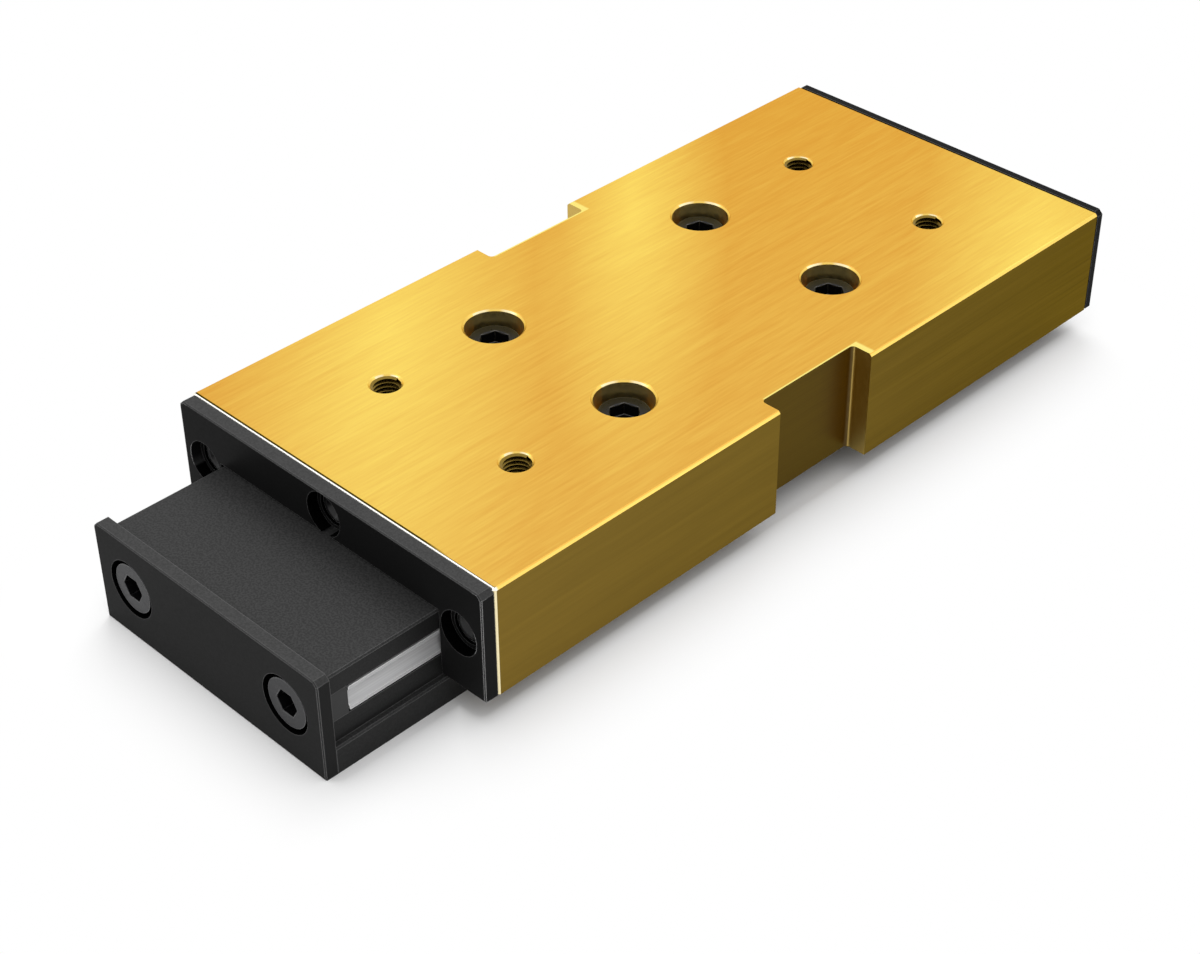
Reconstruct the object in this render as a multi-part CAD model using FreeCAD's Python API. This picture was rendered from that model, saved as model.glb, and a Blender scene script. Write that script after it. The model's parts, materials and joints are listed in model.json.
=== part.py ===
"""Pneumatic linear slide: an extruded housing over a ball-guided slide table.

The housing is a channel that opens downwards. A slide rail runs in it on two
rows of caged balls and carries a tool plate on its front end. An air cylinder
bolted under the housing's roof sits in a pocket milled into the rail, and its
rod pushes the rail forwards. The part is shown with the slide extended.

Frame, in millimetres: +Z up from the slide's underside, front towards -Y, and
the origin in the middle of the footprint. Inside the functions, Y = 0 is the
housing's front face, and `export` moves each piece into the frame.
"""
import FreeCAD, Part
import math
import os

from FreeCAD import Rotation, Vector

# Housing
HOUSING_WIDTH = 70.0
HOUSING_LENGTH = 146.5
HOUSING_EDGE = 0.45
ROOF_THICKNESS = 7.5
SIDE_WALL = 6.9
GROUND_GAP = 5.2                # housing's underside above the slide's underside
NOTCH_DEPTH = 4.0
NOTCH_LENGTH = 22.3
NOTCH_START = 61.2
NOTCH_RADIUS = 0.8

# Slide rail, and the pocket in it for the cylinder
SLIDE_EDGE = 0.3
FLANGE_STEP = 1.2
FLANGE_HEIGHT = 4.8
STROKE = 20.0
FRONT_STOP_GAP = 1.2            # left between tool plate and front plate when drawn in
REAR_STOP_GAP = 2.5             # left between rail and rear plate when drawn in
ROOF_CLEARANCE = 0.5
POCKET_FLOOR = 3.3
POCKET_CORNER = 2.7
END_CLEARANCE = 2.0
NUT_CLEARANCE = 3.3

# Ball guide
BALL_DIAMETER = 4.0
BALLS_PER_SIDE = 6
BALL_PITCH = 14.0
BALL_SIDES = 8
BALL_TURNS = (-45, 0, 45)        # rings of corners on a ball, in degrees from its middle
CAGE_START = 16.0
CAGE_MARGIN = 5.0
CAGE_THICKNESS = 1.6
CAGE_HEIGHT = 5.0
CAGE_CORNER = 1.0
CAGE_POCKET_CLEARANCE = 0.05
RUNNING_CLEARANCE = 0.05
GUIDE_HEIGHT = 11.2             # ball centres above the slide's underside
RACE_HEIGHT = 4.4
RACE_CORNER = 0.25
RACE_SLOT_HEIGHT = 5.0
RACE_GROOVE_DEPTH = 0.6
RACE_GROOVE_RADIUS = 2.5
INNER_RACE_THICKNESS = 1.2
OUTER_RACE_THICKNESS = 1.4
RACE_STOP_LENGTH = 3.8
RACE_GAP = 0.2

# End plates
FRONT_PLATE_THICKNESS = 2.5
REAR_PLATE_THICKNESS = 1.6
PLATE_INSET = 0.1
PLATE_CORNER = 0.8
PLATE_EDGE = 0.2
OPENING_CLEARANCE = 0.3
PLATE_SCREW_INSET = 5.3         # side screws from the housing's sides
PLATE_SIDE_SCREW_DROP = 9.7
PLATE_TOP_SCREW_DROP = 4.0
PLATE_MOUTH_DIAMETER = 7.6
PLATE_MOUTH_DEPTH = 2.0
PLATE_HEAD_DEPTH = 2.25         # screw heads behind the front plate's face
PLATE_BOSS_DIAMETER = 8.0
PLATE_SEAT = 1.0
PLATE_BOSS_CLEARANCE = 0.1
PLATE_SKIN = 0.6                # housing left above the top screw's boss

# Tool plate
TOOL_PLATE_THICKNESS = 2.3
TOOL_PLATE_RISE = 1.4           # its top edge above the slide's top face
TOOL_PLATE_CORNER = 0.8
TOOL_SCREW_INSET = 6.8          # screws from the slide's flanks
TOOL_SCREW_HEIGHT = 9.8
TOOL_SCREW_RECESS = 0.3
TOOL_BOSS_WALL = 0.5
TOOL_SEAT = 1.2
TOOL_BOSS_CLEARANCE = 0.1

# Mounting holes in the housing's roof
TAPPED_SPACING_X = 30.0
TAPPED_SPACING_Y = 100.0
TAPPED_START = 23.25
TAPPED_DEPTH = 6.0
BORE_SPACING_X = 30.0
BORE_SPACING_Y = 50.0
BORE_START = 46.8
BORE_RECESS = 2.0
TABLE_SPACING_X = 30.0
TABLE_START = 6.0
TABLE_REAR_INSET = 8.0          # rear holes from the rail's rear end
TABLE_HOLE_DEPTH = 8.0

# Screws: thread, head and socket
THREAD_CLEARANCE = 0.05
HEAD_CLEARANCE = 0.75
THROUGH_CLEARANCE = 0.25
TAP_CHAMFER = 0.4
HOLE_END_CLEARANCE = 0.1        # between a screw's tip and the end of its hole
OVERCUT = 1.0                   # how far a cut runs past the face it opens
M5_DIAMETER = 5.0
M5_HEAD_DIAMETER = 8.5
M5_HEAD_HEIGHT = 3.5
M5_SOCKET = 4.0
M5_SOCKET_DEPTH = 2.2
CYLINDER_SCREW_LENGTH = 10.0
TOOL_SCREW_LENGTH = 14.0
M3_DIAMETER = 3.0
M3_HEAD_DIAMETER = 5.5
M3_HEAD_HEIGHT = 3.0
M3_SOCKET = 2.5
M3_SOCKET_DEPTH = 1.5
M3_LENGTH = 8.0
REAR_SCREW_DIAMETER = 2.5
REAR_SCREW_HEAD = 4.7
REAR_SCREW_CONE = 1.3
REAR_SCREW_SOCKET = 1.5
REAR_SCREW_SOCKET_DEPTH = 0.9
REAR_SCREW_LENGTH = 8.0

# Cylinder
BLOCK_START = 38.0
BLOCK_WALL = 1.3                # between the bore and the block's top and underside
BLOCK_PAD = 1.3                 # the roof's step down to the block
BLOCK_SIDE_CLEARANCE = 0.6
BLOCK_FLOOR_CLEARANCE = 0.5
BLOCK_EDGE = 0.5
BLOCK_HOLE_DEPTH = 9.5
BLOCK_SCREW_WALL = 1.0          # outside the screw holes, to the block's sides
BORE_DIAMETER = 10.0
PLUG_CLEARANCE = 0.05
PISTON_CLEARANCE = 0.08
ROD_DIAMETER = 5.0
ROD_THREAD_LENGTH = 8.0
NUT_WIDTH = 8.0
NUT_THICKNESS = 2.7
CIRCLIP_INSET = 1.0
CIRCLIP_THICKNESS = 1.0
CIRCLIP_GROOVE = 0.5
CIRCLIP_WIDTH = 1.2
CIRCLIP_GAP = 3.0
GLAND_LENGTH = 14.0
ROD_SEAL_LENGTH = 2.8
ROD_SEAL_WIDTH = 1.4
BUMPER_THICKNESS = 2.0
BUMPER_DIAMETER = 8.4
BUMPER_HOLE = 5.8
CHAMBER_END_CLEARANCE = 0.1
PISTON_LENGTH = 11.8
PISTON_SPIGOT_DIAMETER = 4.0
PISTON_GROOVE_DEPTH = 1.3
PISTON_SEAL_START = 1.9
PISTON_SEAL_WIDTH = 2.0
MAGNET_START = 6.0
MAGNET_WIDTH = 3.0
CAP_LENGTH = 14.0
CAP_SEAL_START = 6.0
CAP_SEAL_WIDTH = 2.0
CAP_SEAL_DEPTH = 1.0

# Air ports in the housing's left side
PORT_DIAMETER = 5.0
PORT_DEPTH = 7.0
PORT_DROP = 3.8                 # port centres below the housing's top
PORT_INSET = 1.0                # from each end of the chamber to its port
PASSAGE_DIAMETER = 2.0
PASSAGE_SEAL_DIAMETER = 4.4
PASSAGE_SEAL_DEPTH = 0.8

# Levels and places worked out from the sizes above
block_height = BORE_DIAMETER + 2 * BLOCK_WALL
block_bottom = POCKET_FLOOR + BLOCK_FLOOR_CLEARANCE
block_top = block_bottom + block_height
block_half = BORE_SPACING_X / 2 + M5_DIAMETER / 2 + BLOCK_SCREW_WALL
pocket_half = block_half + BLOCK_SIDE_CLEARANCE
bore_z = (block_bottom + block_top) / 2
roof = block_top + BLOCK_PAD
slide_top = roof - ROOF_CLEARANCE
housing_bottom = GROUND_GAP
housing_top = roof + ROOF_THICKNESS
housing_half = HOUSING_WIDTH / 2
guide_gap = BALL_DIAMETER + 2 * RUNNING_CLEARANCE - 2 * RACE_GROOVE_DEPTH
channel_half = housing_half - SIDE_WALL
slide_half = channel_half - guide_gap
flange_half = slide_half + FLANGE_STEP
ball_centre_x = slide_half + guide_gap / 2
tool_plate_rear = -FRONT_PLATE_THICKNESS - FRONT_STOP_GAP - STROKE
tool_plate_front = tool_plate_rear - TOOL_PLATE_THICKNESS
tool_plate_top = slide_top + TOOL_PLATE_RISE
slide_rear = HOUSING_LENGTH - REAR_STOP_GAP - STROKE
table_spacing_y = slide_rear - TABLE_REAR_INSET - TABLE_START
side_screw_z = housing_top - PLATE_SIDE_SCREW_DROP
top_screw_z = housing_top - PLATE_TOP_SCREW_DROP
front_circlip_y = BLOCK_START + CIRCLIP_INSET
gland_start = front_circlip_y + CIRCLIP_THICKNESS
chamber_start = gland_start + GLAND_LENGTH
chamber_length = STROKE + PISTON_LENGTH + 2 * (BUMPER_THICKNESS + CHAMBER_END_CLEARANCE)
chamber_end = chamber_start + chamber_length
rear_circlip_y = chamber_end + CAP_LENGTH
block_end = rear_circlip_y + CIRCLIP_THICKNESS + CIRCLIP_INSET
plate_screw_reach = PLATE_HEAD_DEPTH - FRONT_PLATE_THICKNESS + M3_HEAD_HEIGHT + M3_LENGTH
outer_race_start = plate_screw_reach + RACE_GAP
rear_screw_reach = REAR_SCREW_LENGTH - REAR_PLATE_THICKNESS
outer_race_end = HOUSING_LENGTH - rear_screw_reach - RACE_GAP
piston_start = chamber_start + BUMPER_THICKNESS + CHAMBER_END_CLEARANCE
pocket_start = BLOCK_START - STROKE - NUT_THICKNESS - NUT_CLEARANCE
pocket_end = block_end + END_CLEARANCE
port_ys = (chamber_start + PORT_INSET, chamber_end - PORT_INSET)
port_z = housing_top - PORT_DROP
frame_shift = (tool_plate_front + HOUSING_LENGTH + REAR_PLATE_THICKNESS) / 2

AXIS_X, AXIS_Y, AXIS_Z = Vector(1, 0, 0), Vector(0, 1, 0), Vector(0, 0, 1)


def block(x_low, x_high, y_low, y_high, z_low, z_high):
    """A box between two corners."""
    corner = Vector(x_low, y_low, z_low)
    return Part.makeBox(x_high - x_low, y_high - y_low, z_high - z_low, corner)


def cylinder(diameter, length, start, axis):
    """A round bar of the given length that starts at a point."""
    return Part.makeCylinder(diameter / 2, length, start, axis)


def ring(outer, inner, length, start, axis):
    """A round sleeve of two diameters."""
    sleeve = cylinder(outer, length, start, axis)
    return sleeve.cut(cylinder(inner, length, start, axis))


def hexagon(width, length, start, axis):
    """A hexagonal bar of the given width across its flats."""
    radius = width / math.sqrt(3)
    corners = [
        Vector(radius * math.cos(math.radians(60 * turn)), radius * math.sin(math.radians(60 * turn)), 0)
        for turn in range(6)
    ]
    outline = Part.makePolygon(corners + corners[:1])
    bar = Part.Face(outline).extrude(AXIS_Z * length)
    return aimed(bar, start, axis)


def aimed(shape, start, axis):
    """A shape made along +Z from the origin, turned to an axis and set at a point."""
    placed = shape.copy()
    placed.Placement = FreeCAD.Placement(start, Rotation(AXIS_Z, axis))
    return placed


def extruded(points, y_low, y_high):
    """A prism along Y whose section is a closed list of (x, z) points."""
    corners = [Vector(x, y_low, z) for x, z in points]
    outline = Part.makePolygon(corners + corners[:1])
    return Part.Face(outline).extrude(AXIS_Y * (y_high - y_low))


def mirrored(shape):
    """The same shape on the other side of the centre plane."""
    return shape.mirror(Vector(0, 0, 0), AXIS_X)


def joined(shapes):
    """Several touching or overlapping shapes as one clean solid."""
    first, *others = shapes
    return first.fuse(others).removeSplitter()


def edges_where(shape, test):
    """The edges of a shape whose two ends both pass a test."""
    return [
        edge for edge in shape.Edges
        if len(edge.Vertexes) == 2 and all(test(vertex.Point) for vertex in edge.Vertexes)
    ]


def near(value, target):
    """Whether two lengths agree within a hair."""
    return abs(value - target) < 1e-4


def grid(spacing_x, y_first, spacing_y):
    """The four places of a rectangular hole pattern, as (x, y)."""
    return [(side * spacing_x / 2, y) for y in (y_first, y_first + spacing_y) for side in (-1, 1)]


def cap_screw(diameter, head_diameter, head_height, length, socket, socket_depth):
    """A socket screw along +Z: its head starts at the origin, and its tip is furthest along."""
    head = cylinder(head_diameter, head_height, Vector(0, 0, 0), AXIS_Z)
    shank = cylinder(diameter - 2 * THREAD_CLEARANCE, length, Vector(0, 0, head_height), AXIS_Z)
    key = hexagon(socket, socket_depth, Vector(0, 0, 0), AXIS_Z)
    return joined([head, shank]).cut(key)


def flat_screw(diameter, head_diameter, cone_height, length, socket, socket_depth):
    """A countersunk screw along +Z with its flat head at the origin."""
    shank_radius = diameter / 2 - THREAD_CLEARANCE
    head = Part.makeCone(head_diameter / 2, shank_radius, cone_height)
    shank = cylinder(2 * shank_radius, length - cone_height, Vector(0, 0, cone_height), AXIS_Z)
    key = hexagon(socket, socket_depth, Vector(0, 0, 0), AXIS_Z)
    return joined([head, shank]).cut(key)


def tapped_hole(diameter, depth, mouth, axis):
    """The space of a tapped hole with a chamfered mouth, going in along the axis."""
    drill = cylinder(diameter, depth, mouth, axis)
    mouth_radius = diameter / 2 + TAP_CHAMFER
    chamfer = Part.makeCone(mouth_radius, diameter / 2, TAP_CHAMFER, mouth, axis)
    return drill.fuse(chamfer)


def plate_screw_places():
    """Where the end plates are screwed to the housing, as (x, z)."""
    side = housing_half - PLATE_SCREW_INSET
    return [(-side, side_screw_z), (side, side_screw_z), (0, top_screw_z)]


def race_groove(face_x, y_low, y_high):
    """The round-bottomed groove that the balls roll in, cut into a face at x."""
    direction = 1 if face_x < ball_centre_x else -1
    centre_x = face_x + direction * (RACE_GROOVE_RADIUS - RACE_GROOVE_DEPTH)
    start = Vector(centre_x, y_low, GUIDE_HEIGHT)
    return cylinder(2 * RACE_GROOVE_RADIUS, y_high - y_low, start, AXIS_Y)


def boss_seat(x, z, clearance):
    """The boss behind the front plate, or with a clearance the pocket for it."""
    boss_end = PLATE_HEAD_DEPTH + M3_HEAD_HEIGHT + PLATE_SEAT - FRONT_PLATE_THICKNESS
    boss = cylinder(PLATE_BOSS_DIAMETER + 2 * clearance, boss_end + clearance, Vector(x, 0, z), AXIS_Y)
    top = housing_top - PLATE_SKIN - PLATE_BOSS_CLEARANCE + clearance
    reach = PLATE_BOSS_DIAMETER
    return boss.common(block(x - reach, x + reach, 0, boss_end + clearance, 0, top))


def housing_block():
    """The gold housing: a channel with side notches, mounting holes and air ports."""
    body = block(-housing_half, housing_half, 0, HOUSING_LENGTH, housing_bottom, housing_top)
    top_edges = edges_where(body, lambda point: near(point.z, housing_top))
    corner_edges = [edge for edge in body.Edges if edge.BoundBox.ZLength > ROOF_THICKNESS]
    body = body.makeChamfer(HOUSING_EDGE, top_edges + corner_edges)
    body = body.cut(block(-channel_half, channel_half, 0, HOUSING_LENGTH, housing_bottom, roof))
    pad = block(-block_half, block_half, BLOCK_START, block_end, block_top, roof)
    body = joined([body, pad])

    notch = block(
        housing_half - NOTCH_DEPTH, housing_half + OVERCUT, NOTCH_START, NOTCH_START + NOTCH_LENGTH,
        housing_bottom, housing_top,
    )
    inner = [
        edge for edge in notch.Edges
        if edge.BoundBox.ZLength > ROOF_THICKNESS and edge.BoundBox.XMax < housing_half
    ]
    notch = notch.makeFillet(NOTCH_RADIUS, inner)
    race_slot = block(
        channel_half, channel_half + OUTER_RACE_THICKNESS, outer_race_start, outer_race_end,
        GUIDE_HEIGHT - RACE_HEIGHT / 2, GUIDE_HEIGHT + RACE_HEIGHT / 2,
    )
    cuts = [notch, mirrored(notch), race_slot, mirrored(race_slot)]

    head_bore = M5_HEAD_DIAMETER + 2 * HEAD_CLEARANCE
    for x, y in grid(BORE_SPACING_X, BORE_START, BORE_SPACING_Y):
        top = Vector(x, y, housing_top)
        cuts.append(cylinder(head_bore, BORE_RECESS + M5_HEAD_HEIGHT, top, -AXIS_Z))
        cuts.append(Part.makeCone(head_bore / 2 + TAP_CHAMFER, head_bore / 2, TAP_CHAMFER, top, -AXIS_Z))
        cuts.append(cylinder(M5_DIAMETER + 2 * THROUGH_CLEARANCE, housing_top - block_top, top, -AXIS_Z))
    for x, y in grid(TAPPED_SPACING_X, TAPPED_START, TAPPED_SPACING_Y):
        cuts.append(tapped_hole(M5_DIAMETER, TAPPED_DEPTH, Vector(x, y, housing_top), -AXIS_Z))

    for x, z in plate_screw_places():
        cuts.append(boss_seat(x, z, PLATE_BOSS_CLEARANCE))
        cuts.append(cylinder(M3_DIAMETER, plate_screw_reach + HOLE_END_CLEARANCE, Vector(x, 0, z), AXIS_Y))
        rear = Vector(x, HOUSING_LENGTH, z)
        cuts.append(cylinder(REAR_SCREW_DIAMETER, rear_screw_reach + HOLE_END_CLEARANCE, rear, -AXIS_Y))

    for y in port_ys:
        cuts.append(cylinder(PORT_DIAMETER, PORT_DEPTH, Vector(-housing_half, y, port_z), AXIS_X))
        cuts.append(cylinder(PASSAGE_DIAMETER, housing_half, Vector(-housing_half, y, port_z), AXIS_X))
        cuts.append(cylinder(PASSAGE_DIAMETER, port_z - block_top, Vector(0, y, port_z), -AXIS_Z))
    return body.cut(cuts)


def plate_outline(half_width, z_low, z_high, corner, y_low, y_high, front_y):
    """A flat plate with cut corners and a broken edge on its outer face."""
    points = [
        (-half_width, z_low), (half_width, z_low),
        (half_width, z_high - corner), (half_width - corner, z_high),
        (-half_width + corner, z_high), (-half_width, z_high - corner),
    ]
    plate = extruded(points, y_low, y_high)
    face_edges = edges_where(plate, lambda point: near(point.y, front_y))
    return plate.makeChamfer(PLATE_EDGE, face_edges)


def front_end_plate():
    """The black front plate, cut out round the slide, with a boss behind each screw."""
    front = -FRONT_PLATE_THICKNESS
    half = housing_half - PLATE_INSET
    plate = plate_outline(half, housing_bottom, housing_top, PLATE_CORNER, front, 0, front)
    plate = joined([plate] + [boss_seat(x, z, 0) for x, z in plate_screw_places()])
    inner, outer = slide_half + OPENING_CLEARANCE, flange_half + OPENING_CLEARANCE
    step, top = FLANGE_HEIGHT + OPENING_CLEARANCE, slide_top + OPENING_CLEARANCE
    opening = [
        (-outer, 0), (outer, 0), (outer, step), (inner, step),
        (inner, top), (-inner, top), (-inner, step), (-outer, step),
    ]
    cuts = [extruded(opening, front - OVERCUT, PLATE_BOSS_DIAMETER)]
    for x, z in plate_screw_places():
        mouth = Vector(x, front, z)
        bore = M3_HEAD_DIAMETER + 2 * THROUGH_CLEARANCE
        cuts.append(cylinder(PLATE_MOUTH_DIAMETER, PLATE_MOUTH_DEPTH, mouth, AXIS_Y))
        cuts.append(cylinder(bore, PLATE_HEAD_DEPTH + M3_HEAD_HEIGHT, mouth, AXIS_Y))
        cuts.append(cylinder(M3_DIAMETER + 2 * THREAD_CLEARANCE, plate_screw_reach, mouth, AXIS_Y))
    return plate.cut(cuts)


def rear_end_plate():
    """The thin black plate that closes the housing's rear end."""
    rear = HOUSING_LENGTH + REAR_PLATE_THICKNESS
    half = housing_half - PLATE_INSET
    plate = plate_outline(
        half, housing_bottom, housing_top, PLATE_CORNER, HOUSING_LENGTH, rear, rear,
    )
    cuts = []
    for x, z in plate_screw_places():
        cone = Part.makeCone(
            REAR_SCREW_HEAD / 2, REAR_SCREW_DIAMETER / 2, REAR_SCREW_CONE, Vector(x, rear, z), -AXIS_Y,
        )
        cuts.append(cone)
        cuts.append(cylinder(REAR_SCREW_DIAMETER, REAR_PLATE_THICKNESS, Vector(x, rear, z), -AXIS_Y))
    return plate.cut(cuts)


def front_plate_screws():
    """Three small socket screws, deep in the front plate."""
    screw = cap_screw(
        M3_DIAMETER, M3_HEAD_DIAMETER, M3_HEAD_HEIGHT, M3_LENGTH, M3_SOCKET, M3_SOCKET_DEPTH,
    )
    y = -FRONT_PLATE_THICKNESS + PLATE_HEAD_DEPTH
    return [aimed(screw, Vector(x, y, z), AXIS_Y) for x, z in plate_screw_places()]


def rear_plate_screws():
    """Three countersunk screws, flush with the rear plate."""
    screw = flat_screw(
        REAR_SCREW_DIAMETER, REAR_SCREW_HEAD, REAR_SCREW_CONE, REAR_SCREW_LENGTH, REAR_SCREW_SOCKET,
        REAR_SCREW_SOCKET_DEPTH,
    )
    y = HOUSING_LENGTH + REAR_PLATE_THICKNESS
    return [aimed(screw, Vector(x, y, z), -AXIS_Y) for x, z in plate_screw_places()]


def slide_rail():
    """The black slide table, with its flange, race slots and cylinder pocket."""
    edge = SLIDE_EDGE
    right = [
        (flange_half, 0), (flange_half, FLANGE_HEIGHT - edge), (flange_half - edge, FLANGE_HEIGHT),
        (slide_half, FLANGE_HEIGHT), (slide_half, slide_top - edge), (slide_half - edge, slide_top),
    ]
    left = [(-x, z) for x, z in reversed(right)]
    rail = extruded(right + left, tool_plate_rear, slide_rear)
    slot = block(
        slide_half - INNER_RACE_THICKNESS, slide_half, tool_plate_rear, slide_rear,
        GUIDE_HEIGHT - RACE_SLOT_HEIGHT / 2, GUIDE_HEIGHT + RACE_SLOT_HEIGHT / 2,
    )
    pocket = block(-pocket_half, pocket_half, pocket_start, pocket_end, POCKET_FLOOR, slide_top)
    corners = [edge for edge in pocket.Edges if edge.BoundBox.ZLength > POCKET_FLOOR]
    pocket = pocket.makeFillet(POCKET_CORNER, corners)
    cuts = [slot, mirrored(slot), pocket]
    for side in (-1, 1):
        x = side * tool_screw_x()
        start = Vector(x, tool_plate_rear, TOOL_SCREW_HEIGHT)
        seat_diameter = tool_boss_diameter() + 2 * TOOL_BOSS_CLEARANCE
        cuts.append(cylinder(seat_diameter, tool_boss_length() + TOOL_BOSS_CLEARANCE, start, AXIS_Y))
        cuts.append(cylinder(M5_DIAMETER, tool_boss_length() + TOOL_SCREW_LENGTH, start, AXIS_Y))
    for x, y in grid(TABLE_SPACING_X, TABLE_START, table_spacing_y):
        cuts.append(cylinder(M5_DIAMETER, TABLE_HOLE_DEPTH, Vector(x, y, 0), AXIS_Z))
    rod_hole = Vector(0, pocket_start, bore_z)
    cuts.append(cylinder(ROD_DIAMETER, ROD_THREAD_LENGTH, rod_hole, -AXIS_Y))
    return rail.cut(cuts)


def tool_screw_x():
    """How far the tool plate's screws are from the centre plane."""
    return slide_half - TOOL_SCREW_INSET


def tool_boss_diameter():
    """The outside of the tool plate's counterbored bosses."""
    return M5_HEAD_DIAMETER + 2 * HEAD_CLEARANCE + 2 * TOOL_BOSS_WALL


def tool_boss_length():
    """How far the tool plate's bosses reach into the slide rail."""
    return TOOL_SCREW_RECESS + M5_HEAD_HEIGHT + TOOL_SEAT - TOOL_PLATE_THICKNESS


def tool_plate():
    """The plate on the slide's front end, with two counterbored screw holes."""
    plate = plate_outline(
        flange_half, 0, tool_plate_top, TOOL_PLATE_CORNER, tool_plate_front, tool_plate_rear,
        tool_plate_front,
    )
    bosses, cuts = [], []
    for side in (-1, 1):
        x = side * tool_screw_x()
        rear = Vector(x, tool_plate_rear, TOOL_SCREW_HEIGHT)
        front = Vector(x, tool_plate_front, TOOL_SCREW_HEIGHT)
        head_depth = TOOL_SCREW_RECESS + M5_HEAD_HEIGHT
        bosses.append(cylinder(tool_boss_diameter(), tool_boss_length(), rear, AXIS_Y))
        cuts.append(cylinder(M5_HEAD_DIAMETER + 2 * HEAD_CLEARANCE, head_depth, front, AXIS_Y))
        cuts.append(cylinder(M5_DIAMETER + 2 * THROUGH_CLEARANCE, 2 * head_depth, front, AXIS_Y))
    return joined([plate] + bosses).cut(cuts)


def tool_plate_screws():
    """The two screws that hold the tool plate to the rail."""
    screw = cap_screw(
        M5_DIAMETER, M5_HEAD_DIAMETER, M5_HEAD_HEIGHT, TOOL_SCREW_LENGTH, M5_SOCKET, M5_SOCKET_DEPTH,
    )
    y = tool_plate_front + TOOL_SCREW_RECESS
    return [
        aimed(screw, Vector(side * tool_screw_x(), y, TOOL_SCREW_HEIGHT), AXIS_Y) for side in (-1, 1)
    ]


def cylinder_screws():
    """The four low-head screws that hold the cylinder block up under the roof."""
    screw = cap_screw(
        M5_DIAMETER, M5_HEAD_DIAMETER, M5_HEAD_HEIGHT, CYLINDER_SCREW_LENGTH, M5_SOCKET, M5_SOCKET_DEPTH,
    )
    z = housing_top - BORE_RECESS
    places = grid(BORE_SPACING_X, BORE_START, BORE_SPACING_Y)
    return [aimed(screw, Vector(x, y, z), -AXIS_Z) for x, y in places]


def inner_race():
    """A hardened strip in the slide's right flank, hollowed along its length for the balls."""
    start = tool_plate_rear + RACE_STOP_LENGTH + RACE_GAP
    end = slide_rear - RACE_STOP_LENGTH - RACE_GAP
    strip = block(
        slide_half - INNER_RACE_THICKNESS, slide_half, start, end,
        GUIDE_HEIGHT - RACE_HEIGHT / 2, GUIDE_HEIGHT + RACE_HEIGHT / 2,
    )
    corners = [edge for edge in strip.Edges if near(edge.BoundBox.XLength, INNER_RACE_THICKNESS)]
    strip = strip.makeFillet(RACE_CORNER, corners)
    return strip.cut(race_groove(slide_half, start, end))


def outer_race():
    """The matching strip in the housing's right wall."""
    start, end = outer_race_start, outer_race_end
    strip = block(
        channel_half, channel_half + OUTER_RACE_THICKNESS, start, end,
        GUIDE_HEIGHT - RACE_HEIGHT / 2, GUIDE_HEIGHT + RACE_HEIGHT / 2,
    )
    return strip.cut(race_groove(channel_half, start, end))


def race_end_stops():
    """Four small blocks that close the ends of the slide's race slots."""
    half_height = RACE_SLOT_HEIGHT / 2
    stops = [
        block(
            slide_half - INNER_RACE_THICKNESS, slide_half, y, y + RACE_STOP_LENGTH,
            GUIDE_HEIGHT - half_height, GUIDE_HEIGHT + half_height,
        )
        for y in (tool_plate_rear, slide_rear - RACE_STOP_LENGTH)
    ]
    return stops + [mirrored(stop) for stop in stops]


def ball_places():
    """How far along the housing each ball of a row is."""
    return [CAGE_START + CAGE_MARGIN + count * BALL_PITCH for count in range(BALLS_PER_SIDE)]


def ball_cage():
    """A thin strip that keeps the right-hand balls apart."""
    length = 2 * CAGE_MARGIN + (BALLS_PER_SIDE - 1) * BALL_PITCH
    cage = block(
        ball_centre_x - CAGE_THICKNESS / 2, ball_centre_x + CAGE_THICKNESS / 2,
        CAGE_START, CAGE_START + length,
        GUIDE_HEIGHT - CAGE_HEIGHT / 2, GUIDE_HEIGHT + CAGE_HEIGHT / 2,
    )
    corners = [edge for edge in cage.Edges if near(edge.BoundBox.XLength, CAGE_THICKNESS)]
    cage = cage.makeFillet(CAGE_CORNER, corners)
    pocket = BALL_DIAMETER + 2 * CAGE_POCKET_CLEARANCE
    start_x = ball_centre_x - CAGE_THICKNESS
    holes = [
        cylinder(pocket, 2 * CAGE_THICKNESS, Vector(start_x, y, GUIDE_HEIGHT), AXIS_X)
        for y in ball_places()
    ]
    return cage.cut(holes)


def ball(centre):
    """A ball made light: flats between corners that lie on the true ball."""
    radius = BALL_DIAMETER / 2
    poles = [centre - AXIS_X * radius, centre + AXIS_X * radius]
    rings = []
    for turn in BALL_TURNS:
        middle = centre + AXIS_X * radius * math.sin(math.radians(turn))
        spoke = Vector(0, radius * math.cos(math.radians(turn)), 0)
        angles = [360 / BALL_SIDES * side for side in range(BALL_SIDES)]
        rings.append([middle + Rotation(AXIS_X, angle).multVec(spoke) for angle in angles])
    flats = []
    for side in range(BALL_SIDES):
        after = (side + 1) % BALL_SIDES
        flats += [[low[side], low[after], high[after], high[side]] for low, high in zip(rings, rings[1:])]
        flats += [[pole, end[side], end[after]] for pole, end in zip(poles, (rings[0], rings[-1]))]
    faces = [Part.Face(Part.makePolygon(corners + corners[:1])) for corners in flats]
    return Part.makeSolid(Part.makeShell(faces))


def balls():
    """The right-hand row of balls."""
    return [ball(Vector(ball_centre_x, y, GUIDE_HEIGHT)) for y in ball_places()]


def bored(diameter, y_low, y_high):
    """A round bar on the cylinder's centre line between two places."""
    return cylinder(diameter, y_high - y_low, Vector(0, y_low, bore_z), AXIS_Y)


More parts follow.
